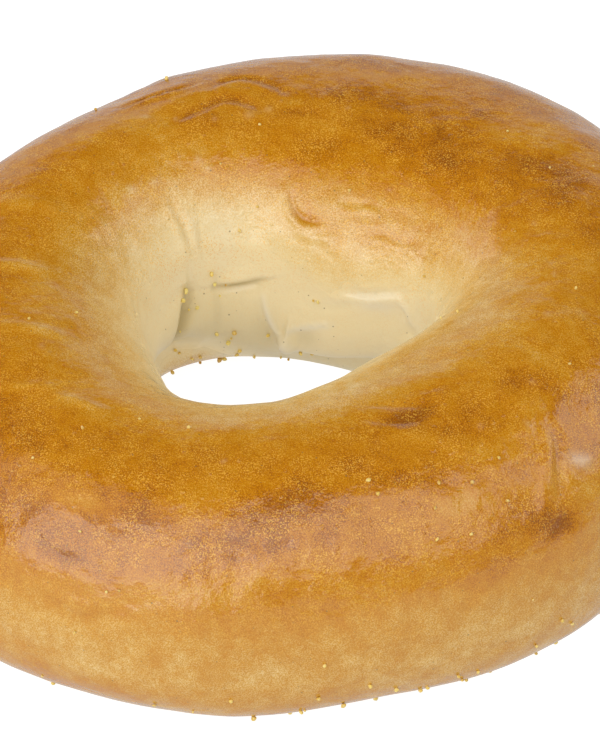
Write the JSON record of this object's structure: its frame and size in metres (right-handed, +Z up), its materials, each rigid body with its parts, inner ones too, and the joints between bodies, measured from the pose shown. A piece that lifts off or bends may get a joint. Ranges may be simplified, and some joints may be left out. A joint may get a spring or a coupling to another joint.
{
  "type": "plain bagel",
  "caption": "Plain baked bagel: an uneven ring of bread with a glossy golden crust, a pale hole wall and a flat underside.",
  "frame": {"origin": "under the middle of the ring's bounding box, on the surface that the flat underside rests on", "axes": "+Z up through the hole, +X to the right and +Y away from someone who faces the front of the bagel"},
  "size_m": [0.1132, 0.1084, 0.0356],
  "materials": {
    "crust": "glossy baked bread crust, amber on the crown, golden on the sides and cream in the hole"
  },
  "bodies": {
    "root": {"bagel": "crust"}
  },
  "joints": []
}
